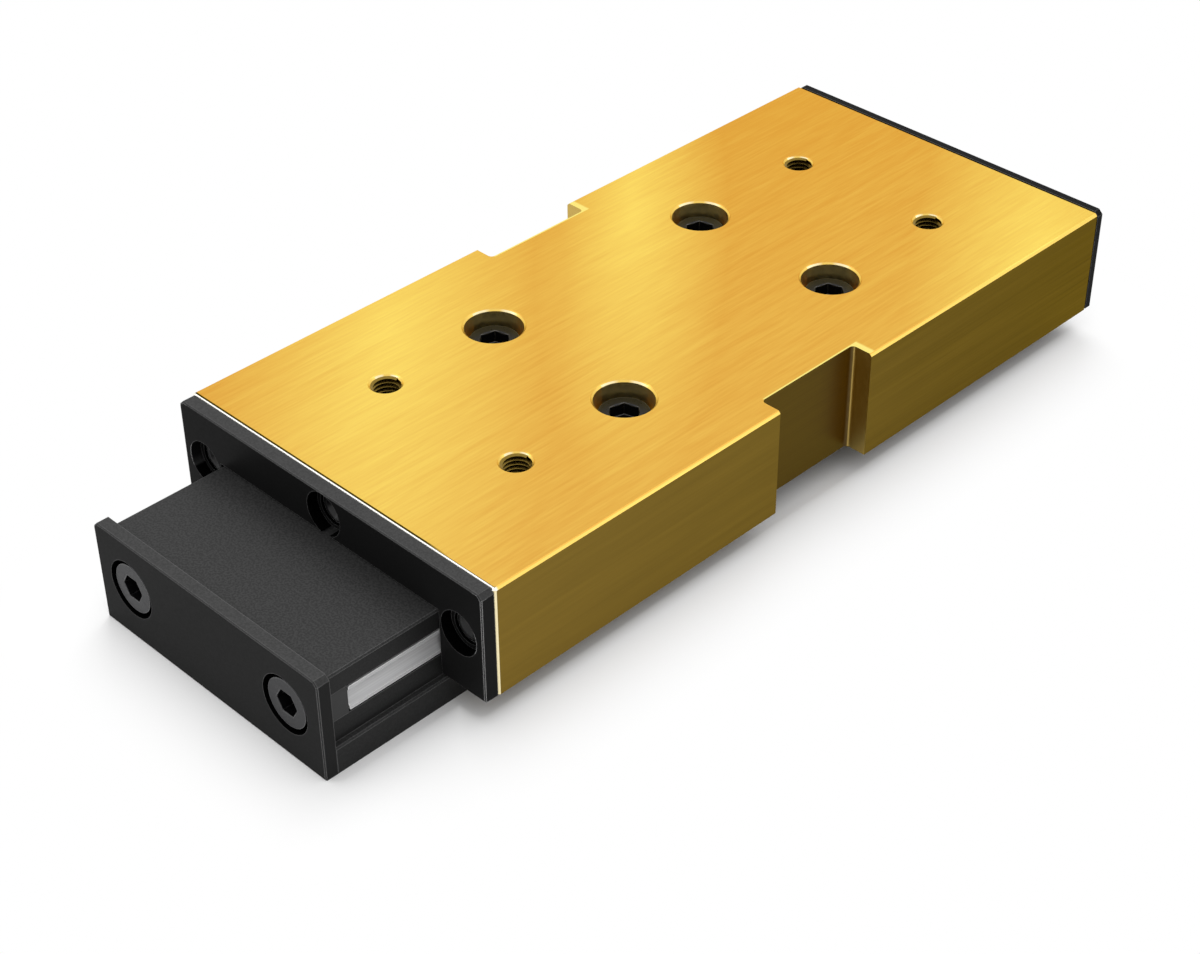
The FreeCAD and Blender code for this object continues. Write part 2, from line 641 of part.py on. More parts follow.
def cylinder_block():
    """The cylinder body, with its bore, screw holes and air passages."""
    body = block(-block_half, block_half, BLOCK_START, block_end, block_bottom, block_top)
    corners = [edge for edge in body.Edges if edge.BoundBox.ZLength > block_height / 2]
    body = body.makeChamfer(BLOCK_EDGE, corners)
    groove = BORE_DIAMETER + 2 * CIRCLIP_GROOVE
    cuts = [bored(BORE_DIAMETER, BLOCK_START, block_end)]
    for y in (front_circlip_y, rear_circlip_y):
        cuts.append(bored(groove, y, y + CIRCLIP_THICKNESS))
    for x, y in grid(BORE_SPACING_X, BORE_START, BORE_SPACING_Y):
        cuts.append(cylinder(M5_DIAMETER, BLOCK_HOLE_DEPTH, Vector(x, y, block_top), -AXIS_Z))
    for y in port_ys:
        top = Vector(0, y, block_top)
        cuts.append(cylinder(PASSAGE_DIAMETER, block_height / 2, top, -AXIS_Z))
        cuts.append(cylinder(PASSAGE_SEAL_DIAMETER, PASSAGE_SEAL_DEPTH, top, -AXIS_Z))
    return body.cut(cuts)


def air_passage_seals():
    """Two seals where the air passages cross from the housing into the block."""
    return [
        ring(
            PASSAGE_SEAL_DIAMETER, PASSAGE_DIAMETER, PASSAGE_SEAL_DEPTH,
            Vector(0, y, block_top), -AXIS_Z,
        )
        for y in port_ys
    ]


def rod_gland():
    """The bush that closes the front of the bore and guides the rod."""
    plug = bored(BORE_DIAMETER - 2 * PLUG_CLEARANCE, gland_start, chamber_start)
    rod_bore = bored(ROD_DIAMETER + 2 * RUNNING_CLEARANCE, gland_start, chamber_start)
    seal_space = bored(ROD_DIAMETER + 2 * ROD_SEAL_WIDTH, chamber_start - ROD_SEAL_LENGTH, chamber_start)
    return plug.cut([rod_bore, seal_space])


def rod_seal():
    """The lip seal round the rod."""
    start = chamber_start - ROD_SEAL_LENGTH
    outer = bored(ROD_DIAMETER + 2 * ROD_SEAL_WIDTH, start, chamber_start)
    return outer.cut(bored(ROD_DIAMETER + 2 * RUNNING_CLEARANCE, start, chamber_start))


def circlip(y):
    """A spring ring with a gap at its top, in its groove at y."""
    outer = BORE_DIAMETER + 2 * CIRCLIP_GROOVE - 2 * THREAD_CLEARANCE
    clip = bored(outer, y, y + CIRCLIP_THICKNESS)
    clip = clip.cut(bored(outer - 2 * CIRCLIP_WIDTH, y, y + CIRCLIP_THICKNESS))
    gap = block(-CIRCLIP_GAP / 2, CIRCLIP_GAP / 2, y, y + CIRCLIP_THICKNESS, bore_z, bore_z + outer)
    return clip.cut(gap)


def cylinder_end_cap():
    """The plug in the rear of the bore, grooved for its seal."""
    cap = bored(BORE_DIAMETER - 2 * PLUG_CLEARANCE, chamber_end, rear_circlip_y)
    return cap.cut(end_cap_seal())


def end_cap_seal():
    """The sealing ring round the end cap."""
    start = chamber_end + CAP_SEAL_START
    outer = bored(BORE_DIAMETER - 2 * PLUG_CLEARANCE, start, start + CAP_SEAL_WIDTH)
    inner = bored(BORE_DIAMETER - 2 * CAP_SEAL_DEPTH, start, start + CAP_SEAL_WIDTH)
    return outer.cut(inner)


def bumper(y):
    """A rubber ring that stops the piston softly."""
    return ring(BUMPER_DIAMETER, BUMPER_HOLE, BUMPER_THICKNESS, Vector(0, y, bore_z), AXIS_Y)


def piston_ring(start, width, diameter):
    """A ring let into the piston."""
    y = piston_start + start
    outer = bored(diameter, y, y + width)
    return outer.cut(bored(BORE_DIAMETER - 2 * PISTON_GROOVE_DEPTH, y, y + width))


def piston():
    """The piston, with grooves for its seal and its magnet."""
    outer = BORE_DIAMETER - 2 * PISTON_CLEARANCE
    body = bored(outer, piston_start, piston_start + PISTON_LENGTH)
    spigot = bored(PISTON_SPIGOT_DIAMETER, piston_start, piston_start + PISTON_LENGTH)
    grooves = [
        piston_ring(PISTON_SEAL_START, PISTON_SEAL_WIDTH, outer),
        piston_ring(MAGNET_START, MAGNET_WIDTH, outer),
    ]
    return body.cut([spigot] + grooves)


def piston_rod():
    """The rod, from its thread in the slide to the piston on its spigot."""
    thread_start = pocket_start - ROD_THREAD_LENGTH
    thread = bored(ROD_DIAMETER - 2 * THREAD_CLEARANCE, thread_start, pocket_start + NUT_THICKNESS)
    shaft = bored(ROD_DIAMETER, pocket_start + NUT_THICKNESS, piston_start)
    spigot = bored(PISTON_SPIGOT_DIAMETER, piston_start, piston_start + PISTON_LENGTH)
    return joined([thread, shaft, spigot])


def rod_lock_nut():
    """The nut that locks the rod in the slide."""
    nut = hexagon(NUT_WIDTH, NUT_THICKNESS, Vector(0, pocket_start, bore_z), AXIS_Y)
    return nut.cut(bored(ROD_DIAMETER, pocket_start, pocket_start + NUT_THICKNESS))


def export(name, shape):
    """Write one piece, moved into the frame, as a file of its own."""
    solids = shape if isinstance(shape, list) else [shape]
    whole = Part.makeCompound(solids) if len(solids) > 1 else solids[0]
    whole.translate(Vector(0, -frame_shift, 0))
    whole.exportStep(os.path.join("parts", name + ".step"))


def main():
    """Build every piece and write it."""
    os.makedirs("parts", exist_ok=True)
    outer = BORE_DIAMETER - 2 * PISTON_CLEARANCE
    pieces = {
        "housing_block": housing_block(),
        "front_end_plate": front_end_plate(),
        "rear_end_plate": rear_end_plate(),
        "front_plate_screws": front_plate_screws(),
        "rear_plate_screws": rear_plate_screws(),
        "cylinder_block": cylinder_block(),
        "cylinder_screws": cylinder_screws(),
        "rod_gland": rod_gland(),
        "rod_seal": rod_seal(),
        "gland_circlip": circlip(front_circlip_y),
        "cylinder_end_cap": cylinder_end_cap(),
        "end_cap_seal": end_cap_seal(),
        "end_cap_circlip": circlip(rear_circlip_y),
        "air_passage_seals": air_passage_seals(),
        "front_bumper": bumper(chamber_start),
        "rear_bumper": bumper(chamber_end - BUMPER_THICKNESS),
        "right_outer_race": outer_race(),
        "left_outer_race": mirrored(outer_race()),
        "slide_rail": slide_rail(),
        "tool_plate": tool_plate(),
        "tool_plate_screws": tool_plate_screws(),
        "right_inner_race": inner_race(),
        "left_inner_race": mirrored(inner_race()),
        "race_end_stops": race_end_stops(),
        "piston": piston(),
        "piston_seal": piston_ring(PISTON_SEAL_START, PISTON_SEAL_WIDTH, outer),
        "piston_magnet": piston_ring(MAGNET_START, MAGNET_WIDTH, outer),
        "piston_rod": piston_rod(),
        "rod_lock_nut": rod_lock_nut(),
        "right_ball_cage": ball_cage(),
        "left_ball_cage": mirrored(ball_cage()),
        "right_balls": balls(),
        "left_balls": [mirrored(ball) for ball in balls()],
    }
    for name, shape in pieces.items():
        export(name, shape)


main()
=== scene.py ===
# %% [markdown]
# A pneumatic linear slide stands extended on a pale floor. The imported model gives every rigid
# piece at its real size, so this script dresses it and adds the fine detail that a model for a
# machine shop leaves out: threads, rounded screw heads and true balls. It loads the frame first,
# and measures the boxes of single pieces where it needs them.

import bpy
import json
import math
from mathutils import Matrix, Vector


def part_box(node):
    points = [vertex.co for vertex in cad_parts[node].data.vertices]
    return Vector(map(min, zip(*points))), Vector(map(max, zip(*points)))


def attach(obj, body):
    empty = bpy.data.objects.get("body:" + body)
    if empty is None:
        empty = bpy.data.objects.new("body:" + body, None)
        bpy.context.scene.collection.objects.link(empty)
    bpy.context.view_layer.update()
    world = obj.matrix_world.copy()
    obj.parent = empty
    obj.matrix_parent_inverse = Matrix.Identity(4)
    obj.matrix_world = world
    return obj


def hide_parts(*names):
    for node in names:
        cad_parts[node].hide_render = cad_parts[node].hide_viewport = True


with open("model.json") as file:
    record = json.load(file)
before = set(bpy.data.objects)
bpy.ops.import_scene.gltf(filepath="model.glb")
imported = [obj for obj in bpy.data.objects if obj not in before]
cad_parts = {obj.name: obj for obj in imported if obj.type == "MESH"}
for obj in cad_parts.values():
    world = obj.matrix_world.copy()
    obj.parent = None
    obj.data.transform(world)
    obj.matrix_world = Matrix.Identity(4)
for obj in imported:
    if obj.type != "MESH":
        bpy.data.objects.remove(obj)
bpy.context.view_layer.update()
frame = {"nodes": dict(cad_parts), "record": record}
nodes = frame["nodes"]
mounts = {mount["name"]: mount for mount in frame["record"]["mounts"]}
scene = bpy.context.scene
MM = 0.001

# %% [markdown]
# The camera stands at the front right, a little over a third of a right angle above the table.
# A long lens keeps the edges of the housing almost parallel, as in a catalogue picture. Its place,
# aim and lens were found by matching the corners and holes of the housing to the picture.

# %% Camera
CAMERA_PLACE = Vector((224.2, -229.2, 233.1)) * MM
CAMERA_AIM = Vector((26.9, -31.7, 25.2)) * MM
CAMERA_LENS = 69.55
CAMERA_ROLL = math.radians(-0.365)


def make_camera():
    """The camera at the picture's place, looking at a point on the housing's top face."""
    data = bpy.data.cameras.new("camera")
    data.lens = CAMERA_LENS
    data.sensor_width = 36.0
    data.clip_start = 0.01
    camera = bpy.data.objects.new("camera", data)
    scene.collection.objects.link(camera)
    aim = (CAMERA_AIM - CAMERA_PLACE).to_track_quat("-Z", "Y").to_matrix().to_4x4()
    camera.matrix_world = Matrix.Translation(CAMERA_PLACE) @ aim @ Matrix.Rotation(CAMERA_ROLL, 4, "Z")
    scene.camera = camera
    return camera


print(make_camera().name, "lens", CAMERA_LENS)

# %% [markdown]
# A node tree reads best when each node takes one short line. Shader trees and geometry trees are
# both node trees, so one small class makes and joins the nodes of either kind.

# %% Node trees


class Nodes:
    """A node tree under construction."""

    def __init__(self, tree, prefix):
        self.tree = tree
        self.prefix = prefix

    def add(self, kind, *values, **settings):
        """A new node. Plain values fill its inputs in order, and capital names fill them by name."""
        made = self.tree.nodes.new(self.prefix + kind)
        for name, value in settings.items():
            if name[0].islower():
                setattr(made, name, value)
        for socket, value in zip(made.inputs, values):
            self.fill(socket, value)
        for name, value in settings.items():
            if name[0].isupper():
                self.fill(made.inputs[name.replace("_", " ")], value)
        return made

    def fill(self, socket, value):
        """Join a socket or a node's first output to an input, or set the input's plain value."""
        if isinstance(value, bpy.types.Node):
            value = value.outputs[0]
        if isinstance(value, bpy.types.NodeSocket):
            self.tree.links.new(value, socket)
        elif value is not None:
            socket.default_value = value

    def calc(self, kind, *values):
        """One step of arithmetic."""
        made = self.tree.nodes.new("ShaderNodeMath")
        made.operation = kind
        for socket, value in zip(made.inputs, values):
            self.fill(socket, value)
        return made.outputs[0]


print("node helper:", Nodes.__name__)

# %% [markdown]
# Every finish starts from the same shader, with its plain numbers set on the shader's own inputs.
# Patterns read object coordinates in metres, so their scales are true sizes: a noise scale of 1000
# has grains of about a millimetre. A stretch well under one draws the grain out along an axis.

# %% Finishes


class Finish(Nodes):
    """A material under construction."""

    def __init__(self, name, colour, metallic=0.0, roughness=0.5, **values):
        self.material = bpy.data.materials.new(name)
        self.material.use_nodes = True
        super().__init__(self.material.node_tree, "ShaderNode")
        self.shader = self.tree.nodes["Principled BSDF"]
        plain = {"Base Color": (*colour, 1), "Metallic": metallic, "Roughness": roughness}
        plain.update({socket.replace("_", " "): value for socket, value in values.items()})
        for socket, value in plain.items():
            self.shader.inputs[socket].default_value = value
        self.place = self.add("TexCoord").outputs["Object"]

    def noise(self, scale, detail=3.0, stretch=(1, 1, 1)):
        """Noise in object space."""
        mapped = self.add("Mapping", Vector=self.place, Scale=stretch)
        return self.add("TexNoise", Vector=mapped, Scale=scale, Detail=detail).outputs["Fac"]

    def between(self, value, low, high, start=0.3, end=0.7):
        """A number that goes from low to high as the value goes from start to end."""
        return self.add("MapRange", value, start, end, low, high).outputs["Result"]

    def blend(self, factor, first, second):
        """A colour between two colours or colour sockets."""
        made = self.add("Mix", data_type="RGBA")
        colours = [socket for socket in made.inputs if socket.type == "RGBA"]
        for socket, colour in zip(colours, (first, second)):
            self.fill(socket, (*colour, 1) if isinstance(colour, tuple) else colour)
        self.fill(made.inputs[0], factor)
        return next(socket for socket in made.outputs if socket.type == "RGBA")

    def paint(self, socket, source):
        """Join a source to one of the shader's inputs."""
        self.tree.links.new(source, self.shader.inputs[socket])

    def bump(self, height, strength, depth):
        """Press a pattern into the surface."""
        made = self.add("Bump", Strength=strength, Distance=depth, Height=height)
        self.paint("Normal", made.outputs["Normal"])


def dress(finish, *names):
    """Give CAD nodes a finish."""
    for name in names:
        mesh = nodes[name].data
        mesh.materials.clear()
        mesh.materials.append(finish.material)
    print(finish.material.name, "on", ", ".join(names))


scene.view_settings.view_transform = "Standard"
print("view transform:", scene.view_settings.view_transform)

# %% [markdown]
# The housing is gold anodised aluminium. Its top was ground along its length, so the grain is
# noise drawn out along Y. A ground face smears the lamps above it into soft glows, and three of
# them lie slantwise across this one. They are painted highlights: a round gradient, turned and drawn
# out over the face, gives such a glow without any lamp that would also burn out the rest of the
# picture. The top is also painted lighter towards the right, as painted light.

# %% The housing's top face
GOLD_TOP = (1.0, 0.765, 0.165)
GOLD_TOP_DEEP = (0.76, 0.385, 0.065)
TONE_BASE = 0.105
TONE_RISE = 2.6                 # per metre: painted light, rising to the right
STREAK_SHARE = 0.06
SCRATCH_SHARE = 0.09
STREAKS = 900                   # noise scale of the broad streaks,
SCRATCHES = 2600                # and of the finest grain
# Each painted glow has its centre in mm, its turn in degrees, its two radii in mm and its strength.
GLOWS = (((-27, -27), -46, (120, 29), 0.83), ((-27, 31), -47, (89, 17), 0.85),
         ((37, 65), -56, (120, 22), 0.73))


def glow(finish, centre, turn, radii):
    """A painted glow: a soft light spot on the top face, drawn out along its turned axis."""
    spot = finish.add("Mapping", Vector=finish.place, vector_type="TEXTURE")
    spot.inputs["Location"].default_value = (centre[0] * MM, centre[1] * MM, 0)
    spot.inputs["Rotation"].default_value = (0, 0, math.radians(turn))
    spot.inputs["Scale"].default_value = (radii[0] * MM, radii[1] * MM, 1)
    return finish.add("TexGradient", Vector=spot, gradient_type="SPHERICAL").outputs["Fac"]


def gold_top(gold, x, streak):
    """The top: painted light rising to the right, three painted glows, broad streaks, fine scratches.
    """
    tone = gold.calc("MULTIPLY_ADD", x, TONE_RISE, TONE_BASE)
    for centre, turn, radii, strength in GLOWS:
        tone = gold.calc("MULTIPLY_ADD", glow(gold, centre, turn, radii), strength, tone)
    tone = gold.calc("ADD", tone, gold.between(streak, -STREAK_SHARE, STREAK_SHARE))
    scratch = gold.noise(SCRATCHES, 3, (1, 0.05, 1))
    tone = gold.calc("ADD", tone, gold.between(scratch, -SCRATCH_SHARE, SCRATCH_SHARE))
    return gold.blend(tone, GOLD_TOP_DEEP, GOLD_TOP)


print("glows on the top:", len(GLOWS))

# %% [markdown]
# The milled sides are painted darker and more bronze than the top, as painted shade, and darker
# still towards the rear; the notches' floors get the darkest painted shade. The notch ends that face
# forward are painted paler as painted light, the upright front corners get a painted highlight, and
# the walls of the counterbores are painted paler, as painted light. The tapped holes' walls are
# painted nearly black behind their threads, as painted shade. Each face could have a material of
# its own, but the housing is one mesh, so one material tells its faces apart by their normal and
# their place.

# %% The housing's upright faces
# Painted shade on the sides, the notches and the tapped holes' walls; painted light on the forward
# notch ends and the counterbore walls, and a painted highlight on the front corners.
GOLD_SIDE = (0.21, 0.137, 0.031)
GOLD_SIDE_DEEP = (0.08, 0.051, 0.018)
GOLD_NOTCH_END = (0.6, 0.42, 0.12)
GOLD_CORNER = (1.0, 0.88, 0.55)
GOLD_BORE = (0.8, 0.65, 0.27)
GOLD_SHADE = (0.05, 0.035, 0.005)
REAR_DEEPER = 0.8               # painted shade: how much darker the sides get towards the rear,
NOTCH_DEEPER = 0.6              # painted shade: how much darker in a notch,
STREAK_DEEPER = 0.2             # grain: how much darker in a streak
BORE_REACH = 24 * MM            # every hole of the top lies nearer the middle than this
COUNTERBORE_REACH = 38 * MM     # along the length, the tapped holes lie farther out than this
NOTCH_WALL = 31 * MM            # the notches' floors lie this far from the middle
EDGE_WIDTH = 0.45 * MM
FACING_FRONT = (-0.9, -0.8)     # the Y of the normals between which a mask fades
FACING_CORNER = (-0.5, -0.3)
housing_low, housing_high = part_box("housing_block")
housing_middle = (housing_low.y + housing_high.y) / 2


def near_holes(gold, across):
    """A factor of one in the middle strip, where the top's holes are."""
    return gold.between(across, 1, 0, BORE_REACH, 1.1 * BORE_REACH)


def front_part(gold, along):
    """A factor of one on the housing's foremost edges."""
    return gold.between(along, 1, 0, housing_low.y + EDGE_WIDTH, housing_low.y + 2 * EDGE_WIDTH)


def gold_walls(gold, across, along, facing, streak):
    """The long sides, the notches and the holes' walls, with their painted shade, light and highlights.
    """
    lengthwise = gold.between(along, 0, REAR_DEEPER, housing_low.y, housing_high.y)
    deeper = gold.between(across, NOTCH_DEEPER, 0, NOTCH_WALL, NOTCH_WALL + EDGE_WIDTH)
    depth = gold.calc("ADD", lengthwise, deeper)
    depth = gold.calc("ADD", depth, gold.between(streak, 0, STREAK_DEEPER))
    side = gold.blend(depth, GOLD_SIDE, GOLD_SIDE_DEEP)
    side = gold.blend(gold.between(facing, 1, 0, *FACING_FRONT), side, GOLD_NOTCH_END)
    corner = gold.calc("MULTIPLY", front_part(gold, along), gold.between(facing, 1, 0, *FACING_CORNER))
    side = gold.blend(corner, side, GOLD_CORNER)
    outward = gold.calc("ABSOLUTE", gold.calc("SUBTRACT", along, housing_middle))
    tapped = gold.between(outward, 0, 1, COUNTERBORE_REACH, 1.05 * COUNTERBORE_REACH)
    bore = gold.blend(tapped, GOLD_BORE, GOLD_SHADE)
    return gold.blend(near_holes(gold, across), side, bore)


print("housing from", [round(value / MM, 2) for value in housing_low], "mm")

# %% [markdown]
# Broken edges make a machined block look real, because they catch the light. They could be left
# to reflections, but an edge half a millimetre wide needs a clear colour of its own, so their
# highlights are painted. The holes' rims get painted highlights, brightest in two short arcs on the
# side away from the camera. The front edge is painted white as a highlight, with a painted shade
# line above it that ends near the right corner, and a painted highlight runs along the top of each
# notch.

# %% The housing's edges
# The colours of the painted edge highlights.
GOLD_EDGE = (0.9, 0.62, 0.14)
GOLD_RIM = (1.0, 0.85, 0.5)
GOLD_FRONT_EDGE = (1.0, 0.99, 0.93)
GOLD_NOTCH_LINE = (1.0, 0.85, 0.25)
LIP = (0.25 * EDGE_WIDTH, 0.35 * EDGE_WIDTH)    # from the top down, where an edge's painted highlight starts
FRONT_LIP = (0.1 * EDGE_WIDTH, 0.2 * EDGE_WIDTH)
LIT_MORE = (0.57, 0.64)         # a rim is lit where it faces right or forward this much,
LIT_LESS = (-0.05, 0.1)         # and this much in the other of the two
NOTCH_HALF = 11.2 * MM          # half the length of a notch's bright line
# The painted shade line along the front of the top, and where it fades out.
FRONT_LINE_WIDTH = 1.5 * EDGE_WIDTH
FRONT_LINE_END = 20 * MM
FRONT_LINE_FADE = 5 * MM


def gold_edges(gold, top, faces, across, along, drop):
    """The broken edges: painted highlights below and on the rims, a painted white front with shade
    above.
    """
    right, forward = faces.outputs["X"], gold.calc("MULTIPLY", faces.outputs["Y"], -1)
    lit = gold.calc("MULTIPLY", gold.between(gold.calc("MAXIMUM", right, forward), 0, 1, *LIT_MORE),
                    gold.between(gold.calc("MINIMUM", right, forward), 0, 1, *LIT_LESS))
    plain = gold.blend(gold.calc("MULTIPLY", near_holes(gold, across), lit), GOLD_EDGE, GOLD_RIM)
    plain = gold.blend(gold.between(drop, 0, 1, *LIP), top, plain)
    front = gold.blend(gold.between(drop, 0, 1, *FRONT_LIP), GOLD_SHADE, GOLD_FRONT_EDGE)
    return gold.blend(front_part(gold, along), plain, front)


def notch_line(gold, across, along):
    """A factor of one along the top of each notch, where a highlight is painted."""
    middle = gold.calc("ABSOLUTE", gold.calc("SUBTRACT", along, housing_middle))
    inside = gold.between(middle, 1, 0, NOTCH_HALF, NOTCH_HALF + EDGE_WIDTH)
    start, full = NOTCH_WALL - 0.7 * EDGE_WIDTH, NOTCH_WALL - 0.6 * EDGE_WIDTH
    return gold.calc("MULTIPLY", inside, gold.between(across, 0, 1, start, full))


def front_line(gold, x, along):
    """A factor of one along the front of the top, where shade is painted; it fades near the right
    corner.
    """
    start = housing_low.y + FRONT_LINE_WIDTH
    line = gold.between(along, 1, 0, start, start + 0.1 * EDGE_WIDTH)
    shown = gold.between(x, 1, 0, FRONT_LINE_END, FRONT_LINE_END + FRONT_LINE_FADE)
    return gold.calc("MULTIPLY", line, shown)


print("edge width in mm:", EDGE_WIDTH / MM)

# %% [markdown]
# Now the faces come together. How far a face looks up chooses between walls, edges and top. The
# finest grain also sets the roughness and a very faint bump, so that the metal shimmers along Y.
# Specular Tint keeps the gold from turning blue-white where it is seen at a flat angle.

# %% Gold anodised aluminium
GOLD_TINT = (1.0, 0.82, 0.4, 1.0)
GOLD_ROUGHNESS = (0.3, 0.42)
EDGES_UP = (0.3, 0.5)           # the Z of the normals between which walls give way to edges,
TOP_UP = (0.85, 0.95)           # and edges to the top


def gold_anodised():
    """The housing's brushed gold, with its painted glows, shade and highlights."""
    gold = Finish("gold_anodised", GOLD_TOP, metallic=1.0, Specular_Tint=GOLD_TINT)
    place = gold.add("SeparateXYZ", gold.place)
    faces = gold.add("SeparateXYZ", gold.add("TexCoord").outputs["Normal"])
    x, along = place.outputs["X"], place.outputs["Y"]
    across = gold.calc("ABSOLUTE", x)
    drop = gold.calc("SUBTRACT", housing_high.z, place.outputs["Z"])
    streak = gold.noise(STREAKS, 4, (1, 0.04, 1))
    top = gold_top(gold, x, streak)
    walls = gold_walls(gold, across, along, faces.outputs["Y"], streak)
    edges = gold_edges(gold, top, faces, across, along, drop)
    colour = gold.blend(gold.between(faces.outputs["Z"], 0, 1, *EDGES_UP), walls, edges)
    lined = gold.blend(notch_line(gold, across, along), top, GOLD_NOTCH_LINE)
    lined = gold.blend(front_line(gold, x, along), lined, GOLD_SHADE)
    gold.paint("Base Color", gold.blend(gold.between(faces.outputs["Z"], 0, 1, *TOP_UP), colour, lined))
    hair = gold.noise(SCRATCHES, 3, (1, 0.006, 1))
    gold.paint("Roughness", gold.between(hair, *GOLD_ROUGHNESS))
    gold.bump(hair, 0.1, 0.03 * MM)
    return gold


dress(gold_anodised(), "housing_block")

# %% [markdown]
# Sharp edges catch the light as thin pale lines, so every sharp edge gets a painted highlight.
# Lines could be drawn along the edges by place, but the Bevel node finds every edge by itself: near
# one, its rounded normal leaves the true one. The steel strips' edges get painted highlights too.

# %% Painted edge highlights
HIGHLIGHT_WIDTH = 0.22 * MM
HIGHLIGHT_AGREEMENT = (0.88, 0.99)   # of the two normals, from painted highlight to plain face


def edge_highlights(finish, colour, highlight):
    """A colour with a painted highlight along sharp edges."""
    rounded = finish.add("Bevel", samples=4, Radius=HIGHLIGHT_WIDTH)
    true = finish.add("NewGeometry").outputs["Normal"]
    agreement = finish.add("VectorMath", rounded, true, operation="DOT_PRODUCT").outputs["Value"]
    return finish.blend(finish.between(agreement, 1, 0, *HIGHLIGHT_AGREEMENT), colour, highlight)


print("worn width in mm:", HIGHLIGHT_WIDTH / MM)

# %% [markdown]
# In the picture, the plates' recesses are almost black inside, and their upright front corners
# show as pale lines, so the recesses get painted shade and the corners painted highlights. Both
# lie at known places: a recess keeps away from the plate's outline, and a corner lies on it. So
# both masks come from the plate's box in the frame.

# %% Painted shade in the plates' recesses, painted highlights on their corners
# The first colour is painted shade in the recesses; the three greys are painted edge highlights.
RECESS_SHADE = (0.001, 0.001, 0.001)
PLATE_BORDER = 2 * MM           # the recesses keep this far from the plates' edges
EDGE_HIGHLIGHT = (0.12, 0.12, 0.12)
PLATE_CORNER_HIGHLIGHT = (0.55, 0.55, 0.55)
TOOL_CORNER_HIGHLIGHT = (0.25, 0.25, 0.25)
FACING_WALL = (0.3, 0.6)        # the Y of a recess wall's normal, as its mask fades
UPRIGHT = (0.1, 0.3)            # the Z of an upright corner's normal, likewise


def recessed(black, node, facing, colour):
    """A colour with painted shade, almost black, on the walls of the holes in a plate."""
    low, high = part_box(node)
    place = black.add("SeparateXYZ", black.place)
    across = black.calc("ABSOLUTE", place.outputs["X"])
    inner = black.between(across, 1, 0, high.x - 1.1 * PLATE_BORDER, high.x - PLATE_BORDER)
    under = black.between(place.outputs["Z"], 1, 0, high.z - 1.1 * PLATE_BORDER, high.z - PLATE_BORDER)
    above = black.between(place.outputs["Z"], 0, 1, low.z + PLATE_BORDER, low.z + 1.1 * PLATE_BORDER)
    wall = black.between(black.calc("ABSOLUTE", facing), 1, 0, *FACING_WALL)
    for part in (inner, under, above):
        wall = black.calc("MULTIPLY", wall, part)
    return black.blend(wall, colour, RECESS_SHADE)


def front_corners(black, node, upward, colour):
    """The painted edge highlight, lighter still down a plate's two upright front corners."""
    low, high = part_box(node)
    place = black.add("SeparateXYZ", black.place)
    upright = black.between(black.calc("ABSOLUTE", upward), 1, 0, *UPRIGHT)
    across = black.calc("ABSOLUTE", place.outputs["X"])
    outer = black.between(across, 0, 1, high.x - PLATE_BORDER, high.x - 0.9 * PLATE_BORDER)
    start, end = low.y + 0.5 * PLATE_BORDER, low.y + 0.6 * PLATE_BORDER
    front = black.between(place.outputs["Y"], 1, 0, start, end)
    corner = black.calc("MULTIPLY", black.calc("MULTIPLY", upright, outer), front)
    return black.blend(corner, EDGE_HIGHLIGHT, colour)


print("plate border in mm:", PLATE_BORDER / MM)

# %% [markdown]
# The end plates and the tool plate are smooth black anodised. The slide was bead-blasted before
# it was anodised, so it has a fine matt grain, and its colour is mottled. None is pure black. In
# the picture, the faces that look up are greyer, except on the rear plate, which is as dark on
# top as at its sides, so the faces that look up get painted light. The end plates' sides are
# painted darker than the tool plate's, as painted shade. One function makes every black, and each
# takes its own greys and grain.

# %% Black anodised aluminium
# Painted light: each black is greyer on faces that look up than on its sides.
PLATE_UP, PLATE_SIDE = (0.052,) * 3, (0.0105,) * 3
REAR_UP, TOOL_SIDE = (0.011,) * 3, (0.019,) * 3
SLIDE_UP, SLIDE_SIDE = (0.028,) * 3, (0.0085,) * 3
SMOOTH = {"sheen": 0.02, "low": 0.45, "high": 0.55, "grain": 3200, "depth": 0.006, "mottle": 0.12}
BLASTED = {"sheen": 0.2, "low": 0.48, "high": 0.62, "grain": 2900, "depth": 0.05, "mottle": 0.3}
LOOKING_UP = (0.2, 0.8)         # the Z of the normals between which side gives way to up
SPECKLE = (0.4, 0.6)            # the noise between which the dull grey gives way to the bright


def blackened(name, up, side, sheen, low, high, grain, depth, mottle, plate=None, corner=None):
    """A black with painted light facing up and painted edge highlights; a plate adds painted recess
    shade and corner highlights.
    """
    black = Finish(name, side, Specular_IOR_Level=sheen)
    faces = black.add("SeparateXYZ", black.add("TexCoord").outputs["Normal"])
    grit = black.noise(grain, 2)
    dull, bright = (tuple(part * (1 + change) for part in up) for change in (-mottle, mottle))
    speckled = black.blend(black.between(grit, 0, 1, *SPECKLE), dull, bright)
    colour = black.blend(black.between(faces.outputs["Z"], 0, 1, *LOOKING_UP), side, speckled)
    highlight = front_corners(black, plate, faces.outputs["Z"], corner) if plate else EDGE_HIGHLIGHT
    colour = edge_highlights(black, colour, highlight)
    if plate:
        colour = recessed(black, plate, faces.outputs["Y"], colour)
    black.paint("Base Color", colour)
    black.paint("Roughness", black.between(grit, low, high))
    black.bump(grit, 0.25, depth * MM)
    return black


